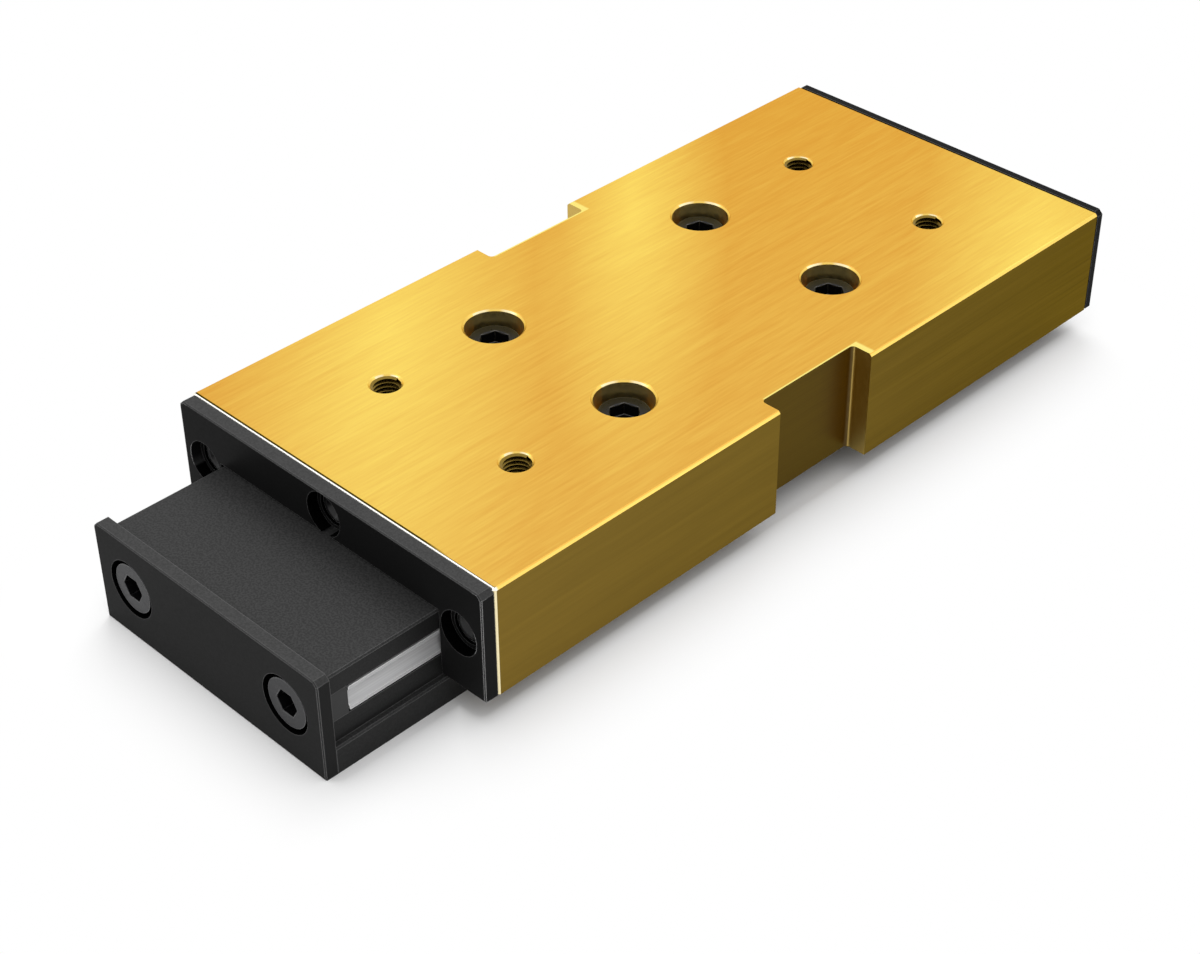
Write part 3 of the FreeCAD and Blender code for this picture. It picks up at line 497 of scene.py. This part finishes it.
# Each plate gets painted shade in its recesses and painted highlights down its front corners.
dress(blackened("plate_black", PLATE_UP, PLATE_SIDE, plate="front_end_plate",
                corner=PLATE_CORNER_HIGHLIGHT, **SMOOTH), "front_end_plate")
dress(blackened("tool_black", PLATE_UP, TOOL_SIDE, plate="tool_plate",
                corner=TOOL_CORNER_HIGHLIGHT, **SMOOTH), "tool_plate")
dress(blackened("rear_plate_black", REAR_UP, PLATE_SIDE, **SMOOTH), "rear_end_plate")
dress(blackened("blasted_black", SLIDE_UP, SLIDE_SIDE, **BLASTED), "slide_rail")

# %% [markdown]
# The race strips are hardened steel, ground along their length, so their grain runs along Y. The
# cages are rolled brass, the rod is polished chrome, and the cylinder's own parts inside have the
# plain finishes that such parts have. They are hidden in the picture, but the model can be opened.
# They differ only in a few values, so a table holds them.

# %% Other metals
ALONG_Y = (1, 0.01, 1)
EVEN = (1, 1, 1)
GRAIN_DEPTH = 0.02 * MM
# Each metal has its colour, its lowest and highest roughness, its grain and the pieces that it is on.
PLAIN_METALS = {
    "cage_brass": ((0.62, 0.45, 0.18), 0.3, 0.45, ALONG_Y, ("right_ball_cage", "left_ball_cage")),
    "chromed_rod": ((0.68, 0.68, 0.7), 0.06, 0.14, EVEN, ("piston_rod",)),
    "zinc_steel": ((0.5, 0.51, 0.53), 0.3, 0.45, EVEN, ("rod_lock_nut",)),
    "bronze": ((0.5, 0.33, 0.16), 0.3, 0.42, EVEN, ("rod_gland",)),
    "spring_steel": ((0.1, 0.1, 0.11), 0.35, 0.5, EVEN, ("gland_circlip", "end_cap_circlip")),
    "clear_anodised": ((0.55, 0.55, 0.56), 0.32, 0.46, ALONG_Y,
                       ("cylinder_block", "cylinder_end_cap", "piston")),
    "magnet": ((0.06, 0.06, 0.065), 0.5, 0.65, EVEN, ("piston_magnet",)),
}


def grained(name, colour, low, high, stretch=EVEN, scale=1500, metallic=1.0, highlight=None):
    """A metal whose grain runs along the axis with the small stretch number."""
    metal = Finish(name, colour, metallic=metallic)
    grain = metal.noise(scale, 3, stretch)
    darker = tuple(0.8 * part for part in colour)
    tinted = metal.blend(metal.between(grain, 0, 1), darker, colour)
    metal.paint("Base Color", edge_highlights(metal, tinted, highlight) if highlight else tinted)
    metal.paint("Roughness", metal.between(grain, low, high))
    metal.bump(grain, 0.1, GRAIN_DEPTH)
    return metal


# The strips' edges get a near-white painted highlight.
race_steel = grained("race_steel", (0.56, 0.56, 0.565), 0.4, 0.48, ALONG_Y, scale=4500, metallic=0.3,
                     highlight=(0.95, 0.95, 0.95))
dress(race_steel, "right_inner_race", "left_inner_race", "right_outer_race", "left_outer_race")
for name, (colour, low, high, stretch, pieces) in PLAIN_METALS.items():
    dress(grained(name, colour, low, high, stretch), *pieces)

# %% [markdown]
# Rubber and moulded plastic have no grain direction. A faint cloud in the roughness keeps them
# from looking like flat paint.

# %% Rubber and plastic
# Each has its colour, its lowest and highest roughness and the pieces that it is on.
SOFT_FINISHES = {
    "seal_rubber": ((0.02, 0.02, 0.02), 0.5, 0.65,
                    ("rod_seal", "end_cap_seal", "air_passage_seals", "piston_seal")),
    "bumper_rubber": ((0.045, 0.045, 0.045), 0.6, 0.75, ("front_bumper", "rear_bumper")),
    "black_plastic": ((0.014, 0.014, 0.014), 0.4, 0.5, ("race_end_stops",)),
}


def moulded(name, colour, low, high):
    """A soft matt material."""
    soft = Finish(name, colour, Specular_IOR_Level=0.35)
    cloud = soft.noise(700, 3)
    soft.paint("Roughness", soft.between(cloud, low, high))
    soft.bump(soft.noise(2500, 2), 0.15, GRAIN_DEPTH)
    return soft


for name, (colour, low, high, pieces) in SOFT_FINISHES.items():
    dress(moulded(name, colour, low, high), *pieces)

# %% [markdown]
# Screws, threads and balls repeat, so each is made once by Geometry Nodes and set at many points.
# The points are the vertices of a small host mesh, and each carries the direction that its copy
# faces. The tree ends in Realize Instances and Set Material, and its result is kept as a plain
# mesh, because instances would be lost when the model is exported.

# %% Geometry trees


class Pattern(Nodes):
    """A geometry tree that sets one item at every point of its host."""

    def __init__(self, name, sizes):
        super().__init__(bpy.data.node_groups.new(name, "GeometryNodeTree"), "GeometryNode")
        face = self.tree.interface
        face.new_socket("Geometry", in_out="INPUT", socket_type="NodeSocketGeometry")
        for size in sizes:
            face.new_socket(size, in_out="INPUT", socket_type="NodeSocketFloat")
        face.new_socket("Geometry", in_out="OUTPUT", socket_type="NodeSocketGeometry")
        self.start = self.tree.nodes.new("NodeGroupInput")

    def size(self, name):
        """One of the tree's named inputs."""
        return self.start.outputs[name]

    def bar(self, radius, length, sides, top=0.0):
        """A round or many-sided bar that goes down from a height."""
        made = self.add("MeshCylinder", Vertices=sides, Radius=radius, Depth=length)
        return self.moved(made.outputs["Mesh"], self.calc("MULTIPLY_ADD", length, -0.5, top))

    def moved(self, shape, height):
        """A shape moved along Z."""
        offset = self.tree.nodes.new("ShaderNodeCombineXYZ")
        self.fill(offset.inputs["Z"], height)
        return self.add("Transform", Geometry=shape, Translation=offset.outputs[0])

    def combine(self, kind, first, second):
        """Two closed shapes joined, or the second taken from the first."""
        made = self.add("MeshBoolean", operation=kind)
        if kind == "DIFFERENCE":
            self.fill(made.inputs["Mesh 1"], first)
            self.fill(made.inputs["Mesh 2"], second)
        else:
            self.tree.links.new(second.outputs[0], made.inputs["Mesh 2"])
            self.tree.links.new(first.outputs[0], made.inputs["Mesh 2"])
        return made

    def finish(self, item, material):
        """Set the item at every host point, facing as the point says, and give it its material."""
        facing = self.add("InputNamedAttribute", data_type="FLOAT_VECTOR", Name="facing")
        aligned = self.tree.nodes.new("FunctionNodeAlignRotationToVector")
        aligned.axis = "Z"
        self.fill(aligned.inputs["Vector"], facing.outputs["Attribute"])
        placed = self.add("InstanceOnPoints", Points=self.start.outputs["Geometry"], Instance=item)
        self.fill(placed.inputs["Rotation"], aligned.outputs["Rotation"])
        solid = self.add("RealizeInstances", Geometry=placed)
        coated = self.add("SetMaterial", Geometry=solid)
        coated.inputs["Material"].default_value = material
        end = self.tree.nodes.new("NodeGroupOutput")
        self.fill(end.inputs["Geometry"], coated)
        return self.tree


def host(name, points):
    """A mesh of loose points, each with the direction that it faces."""
    mesh = bpy.data.meshes.new(name)
    mesh.from_pydata([place for place, _ in points], [], [])
    facing = mesh.attributes.new("facing", "FLOAT_VECTOR", "POINT")
    for datum, (_, direction) in zip(facing.data, points):
        datum.vector = direction
    thing = bpy.data.objects.new(name, mesh)
    scene.collection.objects.link(thing)
    return thing


def grown(name, tree, points, body, sizes, sharp=35.0):
    """Run a tree over its points, keep the result as a plain mesh, and let it ride on a body."""
    thing = host(name, points)
    modifier = thing.modifiers.new("pattern", "NODES")
    modifier.node_group = tree
    for item in tree.interface.items_tree:
        if item.item_type == "SOCKET" and item.in_out == "INPUT" and item.name in sizes:
            modifier[item.identifier] = float(sizes[item.name])
    bpy.context.view_layer.update()
    evaluated = thing.evaluated_get(bpy.context.evaluated_depsgraph_get())
    mesh = bpy.data.meshes.new_from_object(evaluated)
    thing.modifiers.remove(modifier)
    thing.data = mesh
    mesh.name = name
    mesh.shade_smooth()
    mesh.set_sharp_from_angle(angle=math.radians(sharp))
    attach(thing, body)
    print(name, "has", len(mesh.polygons), "faces")
    return thing


print("pattern helper:", Pattern.__name__)

# %% [markdown]
# A socket screw is a round head on a thinner shank, with a hexagonal socket. The hexagon is a bar
# with six sides taken out of the head, after which a shallow cone opens its mouth. It could be
# modelled by hand once and copied, but the tree makes every size from the same few named inputs.

# %% A tree for socket screws
SCREW_SIZES = ("Head Radius", "Head Height", "Shank Radius", "Length", "Socket Width", "Socket Depth",
               "Mouth Radius", "Turn")
MOUTH_SHARE = 0.45              # how far the mouth's cone runs, as a share of its radius


def socket_screw_tree(name, material):
    """A tree that makes socket screws, facing out of their holes."""
    screw = Pattern(name, SCREW_SIZES)
    head = screw.bar(screw.size("Head Radius"), screw.size("Head Height"), 64)
    height = screw.calc("MULTIPLY", screw.size("Head Height"), -0.5)
    reach = screw.calc("SUBTRACT", screw.size("Length"), height)
    shank = screw.bar(screw.size("Shank Radius"), reach, 40, height)
    blank = screw.combine("UNION", head, shank)
    corner = screw.calc("DIVIDE", screw.size("Socket Width"), math.sqrt(3))
    depth = screw.calc("MULTIPLY", screw.size("Socket Depth"), 2.0)
    key = screw.bar(corner, depth, 6, screw.size("Socket Depth"))
    cut = screw.combine("DIFFERENCE", blank, key)
    mouth = screw.add("MeshCone", Vertices=48)
    rim = screw.size("Mouth Radius")
    screw.fill(mouth.inputs["Depth"], screw.calc("MULTIPLY", rim, 2 * MOUTH_SHARE))
    screw.fill(mouth.inputs["Radius Top"], screw.calc("MULTIPLY", rim, 1 + MOUTH_SHARE))
    screw.fill(mouth.inputs["Radius Bottom"], screw.calc("MULTIPLY", rim, 1 - MOUTH_SHARE))
    sunk = screw.moved(mouth.outputs["Mesh"], screw.calc("MULTIPLY", rim, -MOUTH_SHARE))
    opened = screw.combine("DIFFERENCE", cut, sunk)
    spin = screw.tree.nodes.new("ShaderNodeCombineXYZ")
    screw.fill(spin.inputs["Z"], screw.size("Turn"))
    turned = screw.add("Transform", Geometry=opened, Rotation=spin.outputs[0])
    return screw.finish(turned, material)


# Both screw finishes get painted edge highlights. The small screws sit deep in the front plate's
# recesses, so their black is painted darker, as painted shade, with a bright painted highlight on their
# rims.
screw_black = grained("black_steel", (0.025, 0.025, 0.027), 0.26, 0.4, scale=2600, metallic=0.9,
                      highlight=(0.25,) * 3)
recess_black = grained("recessed_black_steel", (0.015,) * 3, 0.3, 0.4, metallic=0.5, highlight=(0.9,) * 3)
screw_tree = socket_screw_tree("socket_screws", screw_black.material)
small_screw_tree = socket_screw_tree("small_socket_screws", recess_black.material)
print("screw trees:", screw_tree.name, "and", small_screw_tree.name)

# %% [markdown]
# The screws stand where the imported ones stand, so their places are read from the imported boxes: a
# head's centre lies one radius inside each end. The heads get a bevel afterwards, because a real
# rim is rounded. The picture shows the top's heads a little deeper, with wider, turned sockets.

# %% Socket screws
M5_HEAD = 4.25 * MM
M3_HEAD = 2.75 * MM
M5_SINK = 0.7 * MM              # how far the top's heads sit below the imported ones
M5_SIZES = {"Head Radius": M5_HEAD, "Head Height": 3.5 * MM, "Shank Radius": 2.45 * MM,
            "Socket Width": 4.0 * MM, "Socket Depth": 2.2 * MM, "Mouth Radius": 2.4 * MM}
SUNK_SIZES = {"Head Height": 3.5 * MM - M5_SINK, "Length": 10 * MM, "Turn": math.radians(15),
              "Socket Width": 4.6 * MM, "Mouth Radius": 2.5 * MM}
M3_SIZES = {"Head Radius": M3_HEAD, "Head Height": 3.0 * MM, "Shank Radius": 1.45 * MM,
            "Socket Width": 2.5 * MM, "Socket Depth": 1.5 * MM, "Mouth Radius": 2.15 * MM}
M5_ROUNDING = 0.22 * MM
M3_ROUNDING = 0.14 * MM


def centres(node, radius):
    """The pairs of x, y and z that lie a radius inside the ends of a node's box."""
    low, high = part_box(node)
    return [(low[axis] + radius, high[axis] - radius) for axis in range(3)]


def soften(thing, width):
    """Round a piece's sharp edges."""
    bevel = thing.modifiers.new("rounded", "BEVEL")
    bevel.width = width
    bevel.segments = 2
    bevel.limit_method = "ANGLE"
    bevel.angle_limit = math.radians(40)
    bevel.harden_normals = False


xs, ys, _ = centres("cylinder_screws", M5_HEAD)
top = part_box("cylinder_screws")[1].z - M5_SINK
places = [((x, y, top), (0, 0, 1)) for x in xs for y in ys]
housing_screws = grown("housing_socket_screws", screw_tree, places, "housing",
                       dict(M5_SIZES, **SUNK_SIZES))
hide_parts("cylinder_screws")

xs, _, zs = centres("tool_plate_screws", M5_HEAD)
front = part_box("tool_plate_screws")[0].y
places = [((x, front, zs[0]), (0, -1, 0)) for x in xs]
tool_screws = grown("tool_plate_socket_screws", screw_tree, places, "slide",
                    dict(M5_SIZES, Length=14 * MM))
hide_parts("tool_plate_screws")

xs, _, zs = centres("front_plate_screws", M3_HEAD)
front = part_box("front_plate_screws")[0].y
places = [((x, front, zs[0]), (0, -1, 0)) for x in xs] + [((0, front, zs[1]), (0, -1, 0))]
small_screws = grown("front_plate_socket_screws", small_screw_tree, places, "housing",
                     dict(M3_SIZES, Length=8 * MM))
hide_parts("front_plate_screws")
roundings = ((housing_screws, M5_ROUNDING), (tool_screws, M5_ROUNDING), (small_screws, M3_ROUNDING))
for thing, width in roundings:
    soften(thing, width)
dress(screw_black, "rear_plate_screws")

# %% [markdown]
# A tapped hole shows its thread as a row of bright ridges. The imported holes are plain, at the
# thread's outer size, so each thread is a ridge wound down the wall: a spiral with a small
# triangle drawn along it. The places and directions come from the record's mounts.

# %% Threads
THREAD_SIZES = ("Radius", "Ridge", "Pitch", "Length", "Start")
M5_THREAD = {"Radius": 2.5 * MM, "Ridge": 0.42 * MM, "Pitch": 0.8 * MM, "Start": 0.45 * MM}


def thread_tree(name, material):
    """A tree that winds a ridge down a hole from its mouth."""
    thread = Pattern(name, THREAD_SIZES)
    radius, ridge = thread.size("Radius"), thread.size("Ridge")
    middle = thread.calc("SUBTRACT", radius, thread.calc("MULTIPLY", ridge, 0.3))
    turns = thread.calc("DIVIDE", thread.size("Length"), thread.size("Pitch"))
    spiral = thread.add("CurveSpiral", Resolution=28, Rotations=turns, Height=thread.size("Length"))
    thread.fill(spiral.inputs["Start Radius"], middle)
    thread.fill(spiral.inputs["End Radius"], middle)
    upright = thread.add("SetCurveNormal", Curve=spiral)
    mode = upright.inputs.get("Mode")
    if mode is None:
        upright.mode = "Z_UP"
    else:
        mode.default_value = "Z Up"
    profile = thread.add("CurvePrimitiveCircle", Resolution=3)
    thread.fill(profile.inputs["Radius"], thread.calc("MULTIPLY", ridge, 2 / 3))
    wound = thread.add("CurveToMesh", Curve=upright, Profile_Curve=profile, Fill_Caps=True)
    depth = thread.calc("ADD", thread.size("Length"), thread.size("Start"))
    lowered = thread.moved(wound, thread.calc("MULTIPLY", depth, -1.0))
    return thread.finish(lowered, material)


def pattern_points(mount):
    """The hole mouths of a mount, with the direction that they face."""
    place, axis, dims = Vector(mount["pos_m"]), Vector(mount["axis"]), mount["dims"]
    half_x = dims.get("spacing_x_mm", 0) / 2 * MM
    half_y = dims.get("spacing_y_mm", 0) / 2 * MM
    signs = [(x, y) for x in (-1, 1) for y in (-1, 1)] if dims.get("count") else [(0, 0)]
    return [(place + Vector((x * half_x, y * half_y, 0)), axis) for x, y in signs]


# The threads' gold is painted much darker than the top's, as painted shade inside the holes.
gold_thread = grained("gold_thread", (0.3, 0.2, 0.04), 0.22, 0.32)
black_thread = grained("black_thread", (0.05, 0.05, 0.05), 0.35, 0.45)
gold_threads = thread_tree("gold_threads", gold_thread.material)
black_threads = thread_tree("black_threads", black_thread.material)
grown("housing_threads", gold_threads, pattern_points(mounts["housing_tapped_holes"]), "housing",
      dict(M5_THREAD, Length=5.4 * MM))
grown("table_threads", black_threads, pattern_points(mounts["table_tapped_holes"]), "slide",
      dict(M5_THREAD, Length=6.8 * MM))
ports = []
for name in ("extend_port", "retract_port"):
    _, y, z = mounts[name]["pos_m"]
    ports.append(((housing_low.x, y, z), mounts[name]["axis"]))
grown("port_threads", gold_threads, ports, "housing", dict(M5_THREAD, Length=6.0 * MM))

# %% [markdown]
# The imported balls have a few flat sides, to keep the model light. True balls take their place.
# Their spacing is read from the box of each row, and their number is given.

# %% Balls
BALL_RADIUS = 2.0 * MM
BALLS_PER_ROW = 6


def ball_tree(material):
    """A tree that makes a ball at every point."""
    ball = Pattern("balls", ("Radius",))
    return ball.finish(ball.add("MeshIcoSphere", Radius=ball.size("Radius"), Subdivisions=4), material)


ball_steel = grained("ball_steel", (0.65, 0.65, 0.66), 0.05, 0.1)
balls = ball_tree(ball_steel.material)
for side in ("right", "left"):
    low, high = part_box(side + "_balls")
    middle = (low + high) / 2
    step = (high.y - low.y - 2 * BALL_RADIUS) / (BALLS_PER_ROW - 1)
    row = [((middle.x, low.y + BALL_RADIUS + step * count, middle.z), (0, 0, 1))
           for count in range(BALLS_PER_ROW)]
    made = grown(side + "_steel_balls", balls, row, side + "_cage",
                 {"Radius": BALL_RADIUS})
    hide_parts(side + "_balls")

# %% [markdown]
# The object stands on a pale floor that turns white a little way off, as in a catalogue picture.
# The whitening could be a light under the floor, but a share of plain white by distance keeps the
# shadow close to the object clean. Camera, glossy and transmission rays all see the same white,
# so the metal shows the background that the picture shows.

# %% Floor
FLOOR_HALF = 4.0
FLOOR_COLOUR = (0.9, 0.9, 0.9)
WHITE_START = 1.5 * MM          # how far from the object the floor starts to turn white
WHITE_END = 20 * MM
WHITE_POWER = 0.55


def seen_rays(nodes_of):
    """A factor of one for camera, glossy and transmission rays."""
    path = nodes_of.add("LightPath")
    either = nodes_of.calc("MAXIMUM", path.outputs["Is Camera Ray"], path.outputs["Is Glossy Ray"])
    return nodes_of.calc("MAXIMUM", either, path.outputs["Is Transmission Ray"])


def distance_beyond(pale, node, margin=0.0):
    """The distance of a floor point from a node's footprint, with a margin taken off its sides."""
    low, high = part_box(node)
    middle, half = (low + high) / 2, (high - low) / 2
    local = pale.add("VectorMath", pale.place, (middle.x, middle.y, 0), operation="SUBTRACT")
    folded = pale.add("VectorMath", local, operation="ABSOLUTE")
    beyond = pale.add("VectorMath", folded, (half.x - margin, half.y, 0), operation="SUBTRACT")
    outside = pale.add("VectorMath", beyond, (0, 0, 0), operation="MAXIMUM")
    return pale.add("VectorMath", outside, operation="LENGTH").outputs["Value"]


def make_floor():
    """A wide pale floor that turns white away from the object's footprint."""
    mesh = bpy.data.meshes.new("floor")
    corners = [(x * FLOOR_HALF, y * FLOOR_HALF, 0) for x, y in ((-1, -1), (1, -1), (1, 1), (-1, 1))]
    mesh.from_pydata(corners, [], [(0, 1, 2, 3)])
    floor = bpy.data.objects.new("floor", mesh)
    scene.collection.objects.link(floor)
    pale = Finish("pale_floor", FLOOR_COLOUR, roughness=0.9, Specular_IOR_Level=0.1)
    from_housing = distance_beyond(pale, "housing_block", housing_high.x - NOTCH_WALL)
    from_slide = distance_beyond(pale, "slide_rail")
    away = pale.calc("MINIMUM", from_housing, from_slide)
    fade = pale.calc("POWER", pale.between(away, 0, 1, WHITE_START, WHITE_END), WHITE_POWER)
    whiten = pale.calc("MULTIPLY", fade, seen_rays(pale))
    white = pale.add("Emission", (1, 1, 1, 1), 1.0)
    mixed = pale.add("MixShader", whiten, pale.shader, white)
    pale.tree.links.new(mixed.outputs[0], pale.tree.nodes["Material Output"].inputs["Surface"])
    mesh.materials.append(pale.material)
    return floor


print(make_floor().name, "white from", WHITE_END / MM, "mm off")

# %% [markdown]
# The light is plain and soft. A big lamp high at the back left is the key: it throws the shadows
# to the front right. Small ones at the front left and the back right keep the other sides open,
# and the sky fills the shadows from above. The key is hidden from reflections, because its square
# would show in the ground top, which has its painted glows already.

# %% Light
SKY_LOW = 0.0                   # strength of the sky at the horizon,
SKY_HIGH = 1.5                  # and overhead
# Each lamp has its place, its size in metres and its power in watts.
LAMPS = {"key": ((-0.42, 0.45, 0.75), 0.55, 3.6),
         "front": ((-0.55, -0.58, 0.55), 0.35, 0.45),
         "rim": ((0.58, 0.55, 0.55), 0.35, 0.3)}


def make_world():
    """A world that looks white and fills the shadows softly."""
    world = bpy.data.worlds.new("world")
    scene.world = world
    world.use_nodes = True
    sky = Nodes(world.node_tree, "ShaderNode")
    backdrop = world.node_tree.nodes["Background"]
    backdrop.inputs["Color"].default_value = (1, 1, 1, 1)
    height = sky.add("SeparateXYZ", sky.add("TexCoord").outputs["Generated"]).outputs["Z"]
    fill = sky.add("MapRange", height, 0, 1, SKY_LOW, SKY_HIGH).outputs["Result"]
    strength = sky.add("MapRange", seen_rays(sky), 0, 1, fill, 1.0)
    world.node_tree.links.new(strength.outputs["Result"], backdrop.inputs["Strength"])


def make_lamp(name, place, size, power):
    """A square soft lamp aimed at the object."""
    data = bpy.data.lights.new(name, "AREA")
    data.size = size
    data.energy = power
    lamp = bpy.data.objects.new(name, data)
    scene.collection.objects.link(lamp)
    aim = (Vector((0, 0, 0.01)) - Vector(place)).to_track_quat("-Z", "Y").to_matrix().to_4x4()
    lamp.matrix_world = Matrix.Translation(place) @ aim
    return lamp


make_world()
lamps = {name: make_lamp(name, *setting) for name, setting in LAMPS.items()}
lamps["key"].visible_glossy = False
print("lamps:", ", ".join(lamps))
